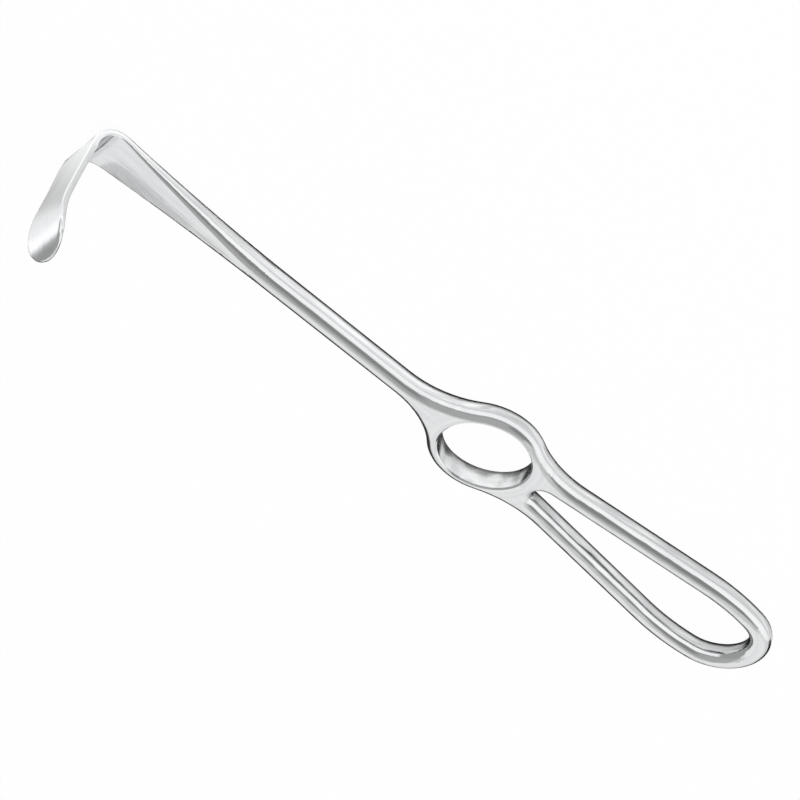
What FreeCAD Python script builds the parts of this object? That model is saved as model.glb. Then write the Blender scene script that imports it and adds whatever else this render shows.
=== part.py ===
import FreeCAD, Part
import os
from math import acos, asin, atan2, cos, pi, sin, sqrt

# A handheld surgical retractor, forged and bent from one piece of stainless steel.
# Millimetres. The origin is on the axis of the finger ring, in the plane of the handle's back.
# +X runs along the shaft to the blade, and +Z is the side to which the blade is bent.

# Handle plate
handle_thickness = 5.9
outer_roundover = 2.5

# Finger ring
ring_hole_diameter = 23.6
ring_wall = 3.1
ring_hole_edge = 0.4
ring_to_shaft_blend = 23.0
ring_to_loop_blend = 28.0

# Pear-shaped loop behind the ring, measured on its opening
ring_to_loop_web = 4.9
loop_opening_length = 72.8
loop_throat_radius = 3.1
loop_belly_half_width = 9.45
loop_belly_to_end = 16.5
loop_shoulder_radius = 55.0
loop_side_width = 5.3
loop_end_width = 5.85
loop_roundover = 2.3

# Shaft, and the flare that widens and thins it toward the bend
shaft_width = 5.7
flare_start = 70.0
flare_end_width = 12.6
flare_end_thickness = 1.6
flare_end_drop = 0.3
flare_width_power = 1.5
flare_ease_in = 0.2
flare_sections = 12
bend_sections = 8
loft_degree = 3

# Long shallow hollow in the front of the flare, which runs out at the bend
hollow_depth = 0.6
hollow_depth_power = 2.0
hollow_fade_before_bend = 4.0
hollow_fade_past_bend = 2.4

# Blade: from the ring's axis to its outer face, and from the handle's back to its tip
blade_reach = 123.0
blade_height = 38.9
bend_inner_radius = 5.8
blade_thickness = 1.5
blade_edge_round = 0.5
blade_root_width = 14.4
blade_root_height = 11.5
blade_waist_width = 13.2
blade_waist_straight = 2.0
waist_below_lip = 3.0

# Lip: the blade's end, which curls back toward the handle and is round
lip_rise = 13.9
lip_radius = 21.0
lip_width = 14.2
lip_thickness = 1.1

# How near two places count as one
touch = 0.001

handle_middle = handle_thickness / 2
shaft_half_width = shaft_width / 2
ring_hole_radius = ring_hole_diameter / 2
ring_outer_radius = ring_hole_radius + ring_wall
bend_radius = bend_inner_radius + flare_end_thickness / 2
bend_start_height = handle_middle - flare_end_drop
blade_middle = blade_reach - blade_thickness / 2
bend_start = blade_middle - bend_radius
lip_start_height = blade_height - lip_rise
blade_waist_height = lip_start_height - waist_below_lip


def point(x, y, z=0.0):
    return FreeCAD.Vector(x, y, z)


def line(start, end):
    return Part.LineSegment(start, end).toShape()


def arc_about(centre, start, end):
    """The shorter arc about a centre."""
    middle = (start - centre) + (end - centre)
    middle.normalize()
    return Part.Arc(start, centre + middle * (start - centre).Length, end).toShape()


def curve(points, start_direction, end_direction):
    spline = Part.BSplineCurve()
    spline.interpolate(Points=points, InitialTangent=start_direction, FinalTangent=end_direction)
    return spline.toShape()


def prism(edges, depth):
    """Solid that the closed outline sweeps along the vector depth."""
    return Part.Face(Part.Wire(Part.__sortEdges__(edges))).extrude(depth)


def round_edges(solid, radius, chosen):
    return solid.makeFillet(radius, [edge for edge in solid.Edges if chosen(edge)])


def both_sides(edges):
    """Edges of the half y > 0, and their mirror images."""
    return edges + [edge.mirror(point(0, 0), point(0, 1)) for edge in edges]


# Loop: throat circle, straight side, shoulder arc and end circle, each tangent to the next

throat_centre = point(-ring_hole_radius - ring_to_loop_web - loop_throat_radius, 0)
opening_end = -ring_hole_radius - ring_to_loop_web - loop_opening_length
shoulder_centre = point(opening_end + loop_belly_to_end, loop_belly_half_width - loop_shoulder_radius)


def side_normal():
    """Normal of the straight side that touches the throat circle and the shoulder arc."""
    across = shoulder_centre - throat_centre
    turn = acos((loop_throat_radius - loop_shoulder_radius) / across.Length)
    angle = atan2(across.y, across.x) - turn
    return point(cos(angle), sin(angle))


def end_circle(end_x, shoulder_radius):
    """Centre and radius of the circle that ends the loop and touches the shoulder arc."""
    reach = shoulder_radius + end_x
    shoulder_distance = shoulder_centre.Length
    centre_x = (reach ** 2 - shoulder_distance ** 2) / (2 * (reach - shoulder_centre.x))
    return point(centre_x, 0), centre_x - end_x


def loop_end(end_x, shoulder_radius, side_start):
    """Edges from the straight side's start, round the shoulder, to the loop's end on the axis."""
    normal = side_normal()
    centre, radius = end_circle(end_x, shoulder_radius)
    outward = centre - shoulder_centre
    outward.normalize()
    side_end = shoulder_centre + normal * shoulder_radius
    shoulder_end = centre + outward * radius
    return [
        line(side_start, side_end),
        arc_about(shoulder_centre, side_end, shoulder_end),
        arc_about(centre, shoulder_end, point(end_x, 0)),
    ]


def loop_opening():
    side_start = throat_centre + side_normal() * loop_throat_radius
    throat_tip = point(throat_centre.x + loop_throat_radius, 0)
    half = [arc_about(throat_centre, throat_tip, side_start)]
    half += loop_end(opening_end, loop_shoulder_radius, side_start)
    return both_sides(half)


def ring_opening():
    back = point(-ring_hole_radius, 0)
    side = point(0, ring_hole_radius)
    front = point(ring_hole_radius, 0)
    return both_sides([arc_about(point(0, 0), back, side), arc_about(point(0, 0), side, front)])


def blend_centre(normal, offset, radius):
    """Centre of a hollow arc that touches the ring's outside and the line with this normal and offset."""
    along = point(-normal.y, normal.x)
    height = offset + radius
    reach = sqrt((ring_outer_radius + radius) ** 2 - height ** 2)
    return normal * height, along * reach


def handle_outline(shaft_end):
    shaft_normal = point(0, 1)
    up, along = blend_centre(shaft_normal, shaft_half_width, ring_to_shaft_blend)
    shaft_blend = up - along
    shaft_touch = shaft_blend - shaft_normal * ring_to_shaft_blend
    ring_front = shaft_blend * (ring_outer_radius / shaft_blend.Length)

    normal = side_normal()
    side_offset = normal.dot(throat_centre) + loop_throat_radius + loop_side_width
    up, along = blend_centre(normal, side_offset, ring_to_loop_blend)
    waist_blend = up + along
    waist_touch = waist_blend - normal * ring_to_loop_blend
    ring_back = waist_blend * (ring_outer_radius / waist_blend.Length)

    centre = point(0, 0)
    half = [
        line(point(shaft_end, shaft_half_width), shaft_touch),
        arc_about(shaft_blend, shaft_touch, ring_front),
        arc_about(centre, ring_front, ring_back),
        arc_about(waist_blend, ring_back, waist_touch),
    ]
    half += loop_end(opening_end - loop_end_width, loop_shoulder_radius + loop_side_width, waist_touch)
    across = line(point(shaft_end, shaft_half_width), point(shaft_end, -shaft_half_width))
    return both_sides(half) + [across]


def handle():
    """Flat plate with the ring and the loop, its outline and the loop's opening well rounded over."""
    plate = prism(handle_outline(flare_start), point(0, 0, handle_thickness))

    def on_a_face(edge):
        box = edge.BoundBox
        return box.ZLength < touch < box.XLength

    plate = round_edges(plate, outer_roundover, on_a_face)
    opening = prism(loop_opening(), point(0, 0, handle_thickness))
    hole = prism(ring_opening(), point(0, 0, handle_thickness))
    plate = plate.cut(opening).cut(hole)

    inside = opening.BoundBox
    inside.enlarge(touch)

    def is_opening_rim(edge):
        return edge.BoundBox.ZLength < touch and inside.isInside(edge.BoundBox)

    def is_hole_rim(edge):
        circle = edge.Curve
        return hasattr(circle, "Radius") and abs(circle.Radius - ring_hole_radius) < touch

    plate = round_edges(plate, loop_roundover, is_opening_rim)
    return plate.makeChamfer(ring_hole_edge, [edge for edge in plate.Edges if is_hole_rim(edge)])


# Shaft's flare and the bend: rounded rectangles set square to the strip's middle line

def rounded_rectangle(middle, thickness_direction, half_width, half_height, radius, hollow):
    """Section across the strip: four corner arcs, three lines and the front's shallow hollow arc."""
    side = point(0, 1)
    corner_y = side * (half_width - radius)
    corner_z = thickness_direction * (half_height - radius)
    centres = [corner_y + corner_z, corner_z - corner_y, (corner_y + corner_z) * -1, corner_y - corner_z]
    rims = []
    for quarter, centre in enumerate(centres):
        turns = [(quarter + step) * pi / 2 for step in (0, 0.5, 1)]
        outward = [side * cos(turn) + thickness_direction * sin(turn) for turn in turns]
        rims.append([middle + centre + direction * radius for direction in outward])
    edges = []
    for rim, next_rim in zip(rims, rims[1:] + rims[:1]):
        edges.append(Part.Arc(*rim).toShape())
        edges.append(line(rim[2], next_rim[0]))
    floor = middle + thickness_direction * (half_height - max(hollow, touch))
    edges[1] = Part.Arc(rims[0][2], floor, rims[1][0]).toShape()
    return Part.Wire(edges)


def hollow_fade(past_bend):
    """1 along the flare, and 0 once the strip is past the start of the bend."""
    share = (past_bend + hollow_fade_before_bend) / (hollow_fade_past_bend + hollow_fade_before_bend)
    return (1 + cos(pi * min(max(share, 0), 1))) / 2


def level_out(share):
    """Rises from 0 to 1 and is level at its end."""
    return share * (2 - share)


def ramp(share):
    """Rises from 0 to 1, level at its start and straight once it is past flare_ease_in."""
    rise = share - flare_ease_in / 2
    if share < flare_ease_in:
        rise = share ** 2 / (2 * flare_ease_in)
    return rise / (1 - flare_ease_in / 2)


def flare_section(share):
    """Section at a share of the flare's length."""
    x = flare_start + (bend_start - flare_start) * share
    middle = point(x, 0, handle_middle - flare_end_drop * ramp(share))
    half_width = shaft_half_width + (flare_end_width / 2 - shaft_half_width) * share ** flare_width_power
    half_height = handle_middle - (handle_middle - flare_end_thickness / 2) * ramp(share)
    radius = outer_roundover - (outer_roundover - blade_edge_round) * ramp(share)
    depth = hollow_depth * share ** hollow_depth_power * hollow_fade(x - bend_start)
    return rounded_rectangle(middle, point(0, 0, 1), half_width, half_height, radius, depth)


def bend_section(path):
    """Section at a distance along the middle line from the start of the bend."""
    bend_length = bend_radius * pi / 2
    turn = min(path / bend_radius, pi / 2)
    rise = max(path - bend_length, 0)
    centre = point(bend_start, 0, bend_start_height + bend_radius)
    outward = point(sin(turn), 0, -cos(turn))
    middle = centre + outward * bend_radius + point(0, 0, rise)
    share = path / root_path()
    half_width = (flare_end_width + (blade_root_width - flare_end_width) * level_out(share)) / 2
    half_height = (flare_end_thickness + (blade_thickness - flare_end_thickness) * level_out(share)) / 2
    depth = hollow_depth * hollow_fade(path)
    return rounded_rectangle(middle, outward * -1, half_width, half_height, blade_edge_round, depth)


def root_path():
    """Distance along the middle line from the start of the bend to the blade's root."""
    return bend_radius * pi / 2 + blade_root_height - bend_start_height - bend_radius


def flare_and_bend():
    sections = [flare_section(number / flare_sections) for number in range(flare_sections)]
    sections += [bend_section(root_path() * number / bend_sections) for number in range(bend_sections + 1)]
    return Part.makeLoft(sections, True, False, False, loft_degree)


# Blade: a strip with a curled lip, trimmed to its outline and rounded at its edges

def blade_root():
    """Flat part between the bend and the waist."""
    root = blade_root_width / 2
    waist = blade_waist_width / 2
    x = blade_reach - blade_thickness
    straight_start = blade_waist_height - blade_waist_straight / 2
    up = point(0, 0, 1)
    half = [
        line(point(x, 0, blade_root_height), point(x, root, blade_root_height)),
        curve([point(x, root, blade_root_height), point(x, waist, straight_start)], up, up),
        line(point(x, waist, straight_start), point(x, waist, blade_waist_height)),
        line(point(x, waist, blade_waist_height), point(x, 0, blade_waist_height)),
    ]
    return prism(both_sides(half), point(blade_thickness, 0))


lip_centre = point(blade_reach - lip_radius, 0, lip_start_height)
lip_turn = asin(lip_rise / lip_radius)


def lip_direction(share):
    """Away from the lip's centre, at a share of its turn."""
    return point(cos(lip_turn * share), 0, sin(lip_turn * share))


lip_end = lip_centre + lip_direction(1) * lip_radius


def lip_strip():
    """Side view of the strip from the waist to past the lip's end, wider than the lip."""
    inner = blade_reach - blade_thickness
    past_end = 1 + lip_thickness / (lip_radius * lip_turn)
    outer_start = point(blade_reach, 0, lip_start_height)
    outer_end = lip_centre + lip_direction(past_end) * lip_radius
    inner_start = point(inner, 0, lip_start_height)
    inner_end = outer_end - lip_direction(past_end) * lip_thickness
    drop = inner_end - inner_start
    inner_radius = drop.Length ** 2 / (-2 * drop.x)
    inner_centre = inner_start - point(inner_radius, 0)
    outer_waist = point(blade_reach, 0, blade_waist_height)
    inner_waist = point(inner, 0, blade_waist_height)
    profile = [
        line(outer_waist, outer_start),
        arc_about(lip_centre, outer_start, outer_end),
        line(outer_end, inner_end),
        arc_about(inner_centre, inner_end, inner_start),
        line(inner_start, inner_waist),
        line(inner_waist, outer_waist),
    ]
    strip = prism(profile, point(0, lip_width * 2))
    strip.translate(point(0, -lip_width))
    return strip


def lip():
    """The strip trimmed square to the lip, with straight sides at the waist and a round end."""
    waist = blade_waist_width / 2
    radius = lip_width / 2
    side = point(0, 1)
    outward = lip_direction(1)
    along = point(-outward.z, 0, outward.x)
    start = along * (along.dot(point(blade_middle, 0, blade_waist_height)) - blade_thickness)
    sides_end = start + along * (blade_thickness + blade_waist_straight / 2)
    end = along * along.dot(lip_end)
    centre = end - along * radius
    half = [
        line(start, start + side * waist),
        line(start + side * waist, sides_end + side * waist),
        curve([sides_end + side * waist, centre + side * radius], along, along),
        arc_about(centre, centre + side * radius, end),
    ]
    reach = outward * (blade_reach + blade_height)
    return lip_strip().common(prism(both_sides(half), reach))


def blade():
    plate = blade_root().fuse(lip()).removeSplitter()

    def is_outline(edge):
        box = edge.BoundBox
        return box.ZMax > blade_root_height + touch and box.YLength + box.ZLength > blade_thickness

    return round_edges(plate, blade_edge_round, is_outline)


def retractor():
    return handle().fuse([flare_and_bend(), blade()]).removeSplitter().Solids[0]


os.makedirs("parts", exist_ok=True)
retractor().exportStep("parts/retractor.step")
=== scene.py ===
from math import cos, radians, sin

import bpy
from mathutils import Matrix, Vector

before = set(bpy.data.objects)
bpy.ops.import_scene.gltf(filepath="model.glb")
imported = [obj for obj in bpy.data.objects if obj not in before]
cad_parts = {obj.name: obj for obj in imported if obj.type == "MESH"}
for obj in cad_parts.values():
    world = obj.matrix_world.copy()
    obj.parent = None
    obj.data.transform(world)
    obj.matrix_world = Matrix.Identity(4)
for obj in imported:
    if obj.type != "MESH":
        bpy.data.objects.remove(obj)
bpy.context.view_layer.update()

print("frame loaded:", ", ".join(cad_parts))


# Node helpers
def addNode(tree, kind, inputs=None, **settings):
    node = tree.nodes.new(kind)
    for name, value in settings.items():
        setattr(node, name, value)
    for name, value in (inputs or {}).items():
        if isinstance(value, bpy.types.NodeSocket):
            tree.links.new(value, node.inputs[name])
        else:
            node.inputs[name].default_value = value
    return node


def clearTree(tree):
    tree.nodes.clear()
    return tree


def rangeOf(tree, value, fromLow, fromHigh, toLow=0, toHigh=1, smooth=False):
    kind = "SMOOTHSTEP" if smooth else "LINEAR"
    inputs = {"Value": value, "From Min": fromLow, "From Max": fromHigh}
    inputs.update({"To Min": toLow, "To Max": toHigh})
    return addNode(tree, "ShaderNodeMapRange", inputs, interpolation_type=kind).outputs["Result"]


def calculate(tree, operation, first, second=None):
    inputs = {0: first} if second is None else {0: first, 1: second}
    return addNode(tree, "ShaderNodeMath", inputs, operation=operation).outputs[0]


def mixColours(tree, share, first, second):
    node = addNode(tree, "ShaderNodeMix", data_type="RGBA")
    for name, value in (("Factor_Float", share), ("A_Color", first), ("B_Color", second)):
        socket = next(s for s in node.inputs if s.identifier == name)
        if isinstance(value, bpy.types.NodeSocket):
            tree.links.new(value, socket)
        else:
            socket.default_value = value
    return next(s for s in node.outputs if s.identifier == "Result_Color")


def noiseOf(tree, place, scale, detail=0.0):
    stretched = addNode(tree, "ShaderNodeMapping", {"Vector": place, "Scale": scale}).outputs[0]
    inputs = {"Vector": stretched, "Scale": 1.0, "Detail": detail}
    return addNode(tree, "ShaderNodeTexNoise", inputs).outputs["Fac"]


def apartOf(tree, vector):
    return addNode(tree, "ShaderNodeSeparateXYZ", {"Vector": vector}).outputs


# Satin stainless steel, rubbed along each rod and round the ring
steelLook = {
    "colour": (0.87, 0.875, 0.88, 1),
    "rubbedColour": (0.81, 0.82, 0.83, 1),
    "rubbedRange": (0.35, 0.65),            # where in the rubbing the colour turns
    "edgeTint": (0.8, 0.8, 0.8, 1),
    "roughness": (0.12, 0.20),
    "roughnessRange": (0.3, 0.7),
    # marks: length, width and depth, in metres
    "rubbing": (0.030, 0.0012, 0.000050),
    "grain": (0.008, 0.00030, 0.0000030),
    "markDetail": 2.0,
    "bladeShare": 0.4,                      # how much of the marks' depth the blade has
    # hand-worked unevenness: size and depth
    "waves": (0.006, 0.000120),
    "holeWaves": (0.004, 0.000450),         # in the ring's hole
    "holeEdge": (0.01181, 0.01184),         # distance from the ring's axis at which they end
    # which way the marks run
    "ringReach": (0.014, 0.019),            # round the ring up to here, then along the rods
    "turnLength": 0.012,                    # length along a mark of one radian round the ring
    "loopEnd": (-0.079, 0.004),             # middle of the loop's round end, half the change to it
    "bladeStart": (0.1145, 0.1185),         # from here up the blade
}


# Place on the steel as way round an upright line at x = middle, distance from it and height
def roundAbout(tree, place, middle, turnLength):
    x, y, z = apartOf(tree, place)
    x = calculate(tree, "SUBTRACT", x, middle)
    squares = [calculate(tree, "MULTIPLY", side, side) for side in (x, y)]
    distance = calculate(tree, "SQRT", calculate(tree, "ADD", *squares))
    way = calculate(tree, "MULTIPLY", calculate(tree, "ARCTAN2", y, x), turnLength)
    return addNode(tree, "ShaderNodeCombineXYZ", {"X": way, "Y": distance, "Z": z}).outputs[0]


# Marks of one length and width over the whole piece, turned the way each part was rubbed
def marks(tree, place, look, length, width):
    along, across = 1 / length, 1 / width
    loopMiddle, loopSoft = look["loopEnd"]
    aboutRing = roundAbout(tree, place, 0.0, look["turnLength"])
    aboutLoopEnd = roundAbout(tree, place, loopMiddle, look["turnLength"])
    ways = {
        "rod": (place, (along, across, across)),
        "ring": (aboutRing, (along, across, across)),
        "loopEnd": (aboutLoopEnd, (along, across, across)),
        "blade": (place, (across, across, along)),
    }
    noise = {name: noiseOf(tree, *way, look["markDetail"]) for name, way in ways.items()}

    x = apartOf(tree, place)["X"]
    offRing = rangeOf(tree, calculate(tree, "ABSOLUTE", x), *look["ringReach"])
    onLoopEnd = rangeOf(tree, x, loopMiddle + loopSoft, loopMiddle - loopSoft)
    onBlade = rangeOf(tree, x, *look["bladeStart"])
    halfShare = look["bladeShare"] / 2
    weakerOnBlade = rangeOf(tree, noise["blade"], 0, 1, 0.5 - halfShare, 0.5 + halfShare)
    found = mixColours(tree, offRing, noise["ring"], noise["rod"])
    found = mixColours(tree, onLoopEnd, found, noise["loopEnd"])
    return mixColours(tree, onBlade, found, weakerOnBlade)


# The unevenness of the ring's inner wall, and nothing elsewhere
def holeUnevenness(tree, place, look):
    size = look["holeWaves"][0]
    fromAxis = apartOf(tree, roundAbout(tree, place, 0.0, look["turnLength"]))["Y"]
    inHole = rangeOf(tree, fromAxis, *look["holeEdge"], 1, 0)
    noise = noiseOf(tree, place, [1 / size] * 3)
    return calculate(tree, "MULTIPLY", calculate(tree, "SUBTRACT", noise, 0.5), inHole)


def steelMaterial(look):
    material = bpy.data.materials.new("satinSteel")
    material.use_nodes = True
    tree = clearTree(material.node_tree)
    place = addNode(tree, "ShaderNodeTexCoord").outputs["Object"]

    rubbing = marks(tree, place, look, *look["rubbing"][:2])
    grain = marks(tree, place, look, *look["grain"][:2])
    waveSize, waveDepth = look["waves"]
    reliefs = (
        (noiseOf(tree, place, [1 / waveSize] * 3), waveDepth),
        (holeUnevenness(tree, place, look), look["holeWaves"][1]),
        (rubbing, look["rubbing"][2]),
        (grain, look["grain"][2]),
    )
    normal = None
    for height, depth in reliefs:
        inputs = {"Height": height, "Distance": depth, "Strength": 1.0}
        if normal is not None:
            inputs["Normal"] = normal
        normal = addNode(tree, "ShaderNodeBump", inputs).outputs["Normal"]

    rubbed = rangeOf(tree, rubbing, *look["rubbedRange"], smooth=True)
    steel = addNode(tree, "ShaderNodeBsdfPrincipled", {
        "Base Color": mixColours(tree, rubbed, look["colour"], look["rubbedColour"]),
        "Metallic": 1.0,
        "Roughness": rangeOf(tree, rubbing, *look["roughnessRange"], *look["roughness"]),
        "Specular Tint": look["edgeTint"],
        "Normal": normal,
    })
    addNode(tree, "ShaderNodeOutputMaterial", {"Surface": steel.outputs["BSDF"]})
    return material


steel = steelMaterial(steelLook)
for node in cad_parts.values():
    for slot in node.material_slots:
        slot.material = steel
print("steel finished")


# Studio: a pale floor that the steel mirrors as painted light and shade (shade cards, streaks, a
# shadow at the steel's foot), a dim room with soft bright panels round it, and one soft lamp
studio = {
    "floorSize": 6.0,
    "floorColour": (0.8, 0.8, 0.8, 1),
    "floorDrop": 0.00003,
    "floorWhiteToCamera": 0.975,
    # painted light and shade on the floor, seen only in the steel: distance to the side of the
    # shaft's line, and level
    "paintedFloorLevels": ((0.0, 1.30), (0.030, 0.82), (0.050, 1.05), (0.130, 1.30), (0.38, 0.40)),
    # painted streaks of light and shade on it, seen only in the steel, along the handle: length,
    # width, lowest and highest share
    "paintedReflectionStreaks": (0.020, 0.0025, 0.64, 1.00),
    "streakRange": (0.35, 0.65),
    "streakDetail": 2.0,
    "streakEnd": (0.113, 0.117),       # they fade out here in x
    # painted shade cards on the floor, seen only in the steel: from and to in x, from and to in y,
    # level, and how far the two ends in x spread apart with y
    "paintedShadeCards": {
        "opening": (-0.092, -0.015, -0.0090, 0.0100, 1.00, 0.0),
        "loop": (-0.080, -0.045, -0.0050, 0.0015, 0.02, 0.0),
        "ring": (-0.011, 0.010, -0.0095, 0.0005, 0.02, 0.0),
        "end": (-0.500, -0.0975, -0.0110, 0.500, 0.02, 0.0),
        "handle": (-0.500, 0.012, 0.0180, 0.500, 0.02, 0.0),
        "shaft": (0.012, 0.0890, 0.0055, 0.500, 0.02, 0.0),
        "flare": (0.088, 0.1120, 0.0115, 0.0170, 0.02, 0.0),
        "blade": (0.1160, 0.1196, 0.0040, 0.500, 0.02, 0.259),
    },
    "paintedShadeSoftness": 0.0015,
    "paintedFootShadowReach": 0.007,             # how far the painted shadow at the steel's foot goes
    "paintedFootShadowOpen": (0.51, 0.73),       # how open the floor is where that painted shadow starts and ends
    "paintedFootShadowLevel": 0.02,
    "footShadowSamples": 8,
    "lampAzimuth": -80,
    "lampElevation": 60,
    "lampDistance": 1.5,
    "lampSize": 0.35,
    "lampPower": 10.0,
    "roomLevel": 0.05,
    # azimuth, its half width, lowest and highest edge in degrees, softness of the edges, level
    "panels": {
        "front": (-100, 80, -5, 42, 6, 1.05),
        "back": (117, 48, 15, 49, 5, 0.90),
        "backSide": (164, 38, -5, 47, 5, 0.80),
        "side": (25, 56, -5, 60, 9, 0.36),
        "top": (0, 180, 46, 120, 6, 0.42),
        "backTop": (140, 60, 46, 62, 8, 0.70),
    },
    # darker place in the top panel: the same six values, the last being the share taken away
    "gap": (-138, 34, 46, 72, 9, 0.40),
}


def product(tree, factors):
    found = factors[0]
    for factor in factors[1:]:
        found = calculate(tree, "MULTIPLY", found, factor)
    return found


# One inside a painted shade card's four edges and nought outside
def paintedShadeShape(tree, x, y, edges, spread, soft):
    left, right, near, far = edges
    wider = calculate(tree, "MULTIPLY", y, spread)
    fromLeft = calculate(tree, "ADD", x, wider)
    fromRight = calculate(tree, "SUBTRACT", x, wider)
    return product(tree, (
        rangeOf(tree, fromLeft, left - soft, left + soft, smooth=True),
        rangeOf(tree, fromRight, right + soft, right - soft, smooth=True),
        rangeOf(tree, y, near - soft, near + soft, smooth=True),
        rangeOf(tree, y, far + soft, far - soft, smooth=True),
    ))


# How light the floor is where the steel mirrors it: painted light and shade, with painted shade
# cards, painted streaks and a painted shadow at the steel's foot
def paintedLightAndShade(tree, values):
    place = addNode(tree, "ShaderNodeTexCoord").outputs["Object"]
    x, y, _ = apartOf(tree, place)
    aside = calculate(tree, "ABSOLUTE", y)
    # painted light and shade by distance from the shaft's line
    stops = values["paintedFloorLevels"]
    level = stops[0][1]
    for (near, _), (far, farLevel) in zip(stops, stops[1:]):
        level = rangeOf(tree, aside, near, far, level, farLevel, smooth=True)
    # painted shade cards set a lower level inside their edges
    for *edges, paintedShadeLevel, spread in values["paintedShadeCards"].values():
        shape = paintedShadeShape(tree, x, y, edges, spread, values["paintedShadeSoftness"])
        level = rangeOf(tree, shape, 0, 1, level, paintedShadeLevel)

    # painted streaks of light and shade along the handle
    length, width, low, high = values["paintedReflectionStreaks"]
    streaks = noiseOf(tree, place, (1 / length, 1 / width, 1), values["streakDetail"])
    streaky = rangeOf(tree, streaks, *values["streakRange"], low, high)
    streaky = rangeOf(tree, rangeOf(tree, x, *values["streakEnd"]), 0, 1, streaky, 1)
    level = calculate(tree, "MULTIPLY", level, streaky)

    # painted shadow at the steel's foot, where ambient occlusion finds the floor closed in
    reach = {"Distance": values["paintedFootShadowReach"]}
    contact = addNode(tree, "ShaderNodeAmbientOcclusion", reach, samples=values["footShadowSamples"])
    openness, footShadow = contact.outputs["AO"], values["paintedFootShadowLevel"]
    return rangeOf(tree, openness, *values["paintedFootShadowOpen"], footShadow, level, smooth=True)


def floorMaterial(values):
    material = bpy.data.materials.new("paleFloor")
    material.use_nodes = True
    tree = clearTree(material.node_tree)
    rays = addNode(tree, "ShaderNodeLightPath").outputs
    plain = {"Color": (1, 1, 1, 1)}
    white = addNode(tree, "ShaderNodeEmission", {**plain, "Strength": 1.0})
    matt = addNode(tree, "ShaderNodeBsdfDiffuse", {"Color": values["floorColour"]})
    # the floor's painted light and shade, which only glossy rays see
    paintedForSteel = addNode(tree, "ShaderNodeEmission", {**plain, "Strength": paintedLightAndShade(tree, values)})

    def either(share, first, second):
        inputs = {0: share, 1: first.outputs[0], 2: second.outputs[0]}
        return addNode(tree, "ShaderNodeMixShader", inputs)

    whiteShare = calculate(tree, "MULTIPLY", rays["Is Camera Ray"], values["floorWhiteToCamera"])
    whiteShare = calculate(tree, "MAXIMUM", whiteShare, rays["Is Transmission Ray"])
    both = either(rays["Is Glossy Ray"], either(whiteShare, matt, white), paintedForSteel)
    addNode(tree, "ShaderNodeOutputMaterial", {"Surface": both.outputs[0]})
    return material


def makeFloor(values):
    half = values["floorSize"] / 2
    z = -values["floorDrop"]
    mesh = bpy.data.meshes.new("floor")
    corners = [(-half, -half, z), (half, -half, z), (half, half, z), (-half, half, z)]
    mesh.from_pydata(corners, [], [(0, 1, 2, 3)])
    mesh.materials.append(floorMaterial(values))
    floor = bpy.data.objects.new("floor", mesh)
    bpy.context.scene.collection.objects.link(floor)


# How bright a panel is in a direction: its level inside its edges, and nothing outside
def panelLight(tree, direction, panel):
    azimuth, halfWidth, lowest, highest, soft, light = panel

    def vector(operation, inputs):
        return addNode(tree, "ShaderNodeVectorMath", inputs, operation=operation).outputs

    def edge(value, near, far):
        return rangeOf(tree, value, near, far, smooth=True)

    axis = (cos(radians(azimuth)), sin(radians(azimuth)), 0)
    level = vector("NORMALIZE", {0: vector("MULTIPLY", {0: direction, 1: (1, 1, 0)})[0]})[0]
    facing = vector("DOT_PRODUCT", {0: level, 1: axis})["Value"]
    across = 1.0      # stays so for a panel that goes all the way round
    if halfWidth < 180:
        outer = cos(radians(min(halfWidth + soft, 180)))
        inner = cos(radians(max(halfWidth - soft, 0)))
        across = edge(facing, outer, inner)
    height = calculate(tree, "DEGREES", calculate(tree, "ARCSINE", apartOf(tree, direction)["Z"]))
    above = edge(height, lowest - soft, lowest + soft)
    below = edge(height, highest + soft, highest - soft)
    return product(tree, (across, above, below, light))


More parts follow.
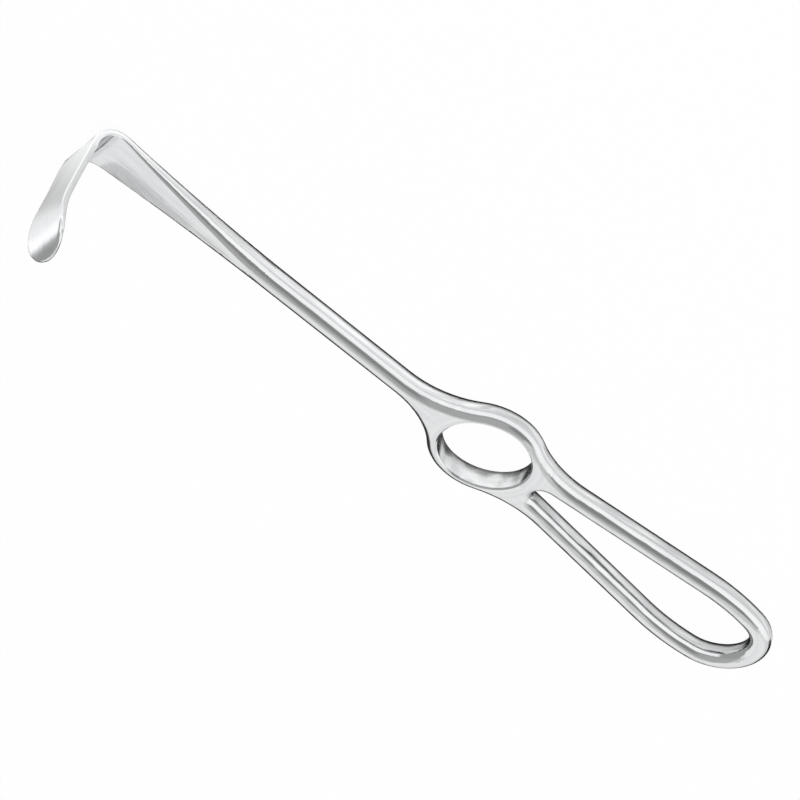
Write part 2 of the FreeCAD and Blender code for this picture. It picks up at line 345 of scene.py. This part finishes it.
def makeSky(values):
    world = bpy.data.worlds.new("studioSky")
    world.use_nodes = True
    bpy.context.scene.world = world
    tree = clearTree(world.node_tree)
    direction = addNode(tree, "ShaderNodeTexCoord").outputs["Generated"]
    level = values["roomLevel"]
    for panel in values["panels"].values():
        level = calculate(tree, "MAXIMUM", level, panelLight(tree, direction, panel))
    gap = calculate(tree, "SUBTRACT", 1.0, panelLight(tree, direction, values["gap"]))
    level = calculate(tree, "MULTIPLY", level, gap)
    rays = addNode(tree, "ShaderNodeLightPath").outputs
    sky = addNode(tree, "ShaderNodeBackground", {"Color": (1, 1, 1, 1), "Strength": level})
    white = addNode(tree, "ShaderNodeBackground", {"Color": (1, 1, 1, 1), "Strength": 1.0})
    inputs = {0: rays["Is Camera Ray"], 1: sky.outputs[0], 2: white.outputs[0]}
    both = addNode(tree, "ShaderNodeMixShader", inputs)
    addNode(tree, "ShaderNodeOutputWorld", {"Surface": both.outputs[0]})


def makeLamp(values):
    light = bpy.data.lights.new("softLamp", "AREA")
    light.shape = "DISK"
    light.size = values["lampSize"]
    light.energy = values["lampPower"]
    lamp = bpy.data.objects.new("softLamp", light)
    bpy.context.scene.collection.objects.link(lamp)
    turn, rise = radians(values["lampAzimuth"]), radians(values["lampElevation"])
    towards = Vector((cos(turn) * cos(rise), sin(turn) * cos(rise), sin(rise)))
    lamp.location = towards * values["lampDistance"]
    lamp.rotation_euler = (-lamp.location).to_track_quat("-Z", "Y").to_euler()
    lamp.visible_glossy = False


makeFloor(studio)
makeSky(studio)
makeLamp(studio)
print("studio lit")


# Camera: the photograph's long lens, which looks down on the handle and is turned on its side
lens = {
    "place": (0.2209, -0.3777, 0.3440),
    "azimuth": 27.22,
    "elevation": 38.34,
    "roll": -159.54,
    "length": 103.25,
    "sensorWidth": 36,
    "nearClip": 0.01,
}


def makeCamera(values):
    camera = bpy.data.cameras.new("camera")
    camera.lens = values["length"]
    camera.sensor_width = values["sensorWidth"]
    camera.clip_start = values["nearClip"]
    holder = bpy.data.objects.new("camera", camera)
    bpy.context.scene.collection.objects.link(holder)
    around = Matrix.Rotation(radians(values["azimuth"]), 4, "Z")
    down = Matrix.Rotation(radians(90 - values["elevation"]), 4, "X")
    roll = Matrix.Rotation(radians(values["roll"]), 4, "Z")
    holder.matrix_world = Matrix.Translation(values["place"]) @ around @ down @ roll
    bpy.context.scene.camera = holder


makeCamera(lens)
bpy.context.scene.view_settings.view_transform = "Standard"
print("camera set")
